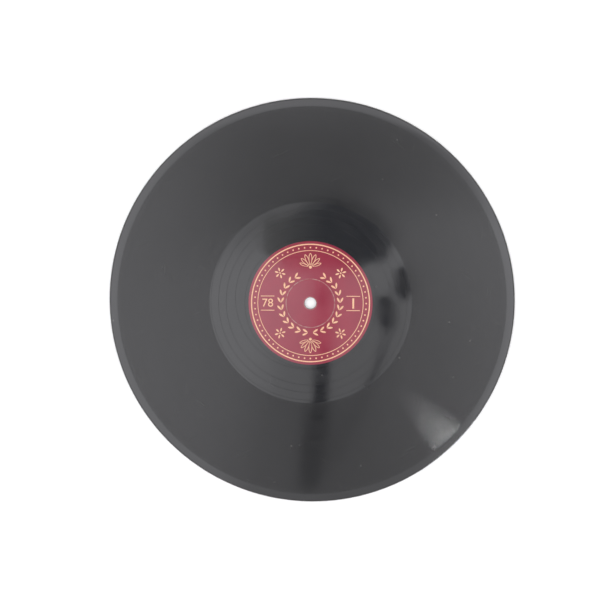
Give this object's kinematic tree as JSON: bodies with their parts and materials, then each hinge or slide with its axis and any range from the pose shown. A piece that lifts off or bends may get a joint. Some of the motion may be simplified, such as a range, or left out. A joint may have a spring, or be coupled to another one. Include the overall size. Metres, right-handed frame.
{
  "type": "shellac record",
  "caption": "Flat round gramophone disc of laminated shellac with a spiral groove, a paper label pressed into each side and a spindle hole through the middle.",
  "frame": {"origin": "on the spindle axis, on the face of side B, which is the underside", "axes": "+Z along the spindle axis, up through side A; +X to the right and +Y to the top as side A's label reads"},
  "size_m": [0.25, 0.25, 0.0022],
  "materials": {
    "shellac_core": "dull grey-brown pressed shellac with mineral filler",
    "kraft_paper": "brown kraft paper, sealed inside",
    "shellac_facing": "glossy black pressed shellac",
    "label_paper": "maroon printed paper with peach-gold ink"
  },
  "bodies": {
    "root": {"core": "shellac_core", "front_paper": "kraft_paper", "back_paper": "kraft_paper", "front_facing": "shellac_facing", "back_facing": "shellac_facing", "front_label": "label_paper", "back_label": "label_paper"}
  },
  "joints": []
}
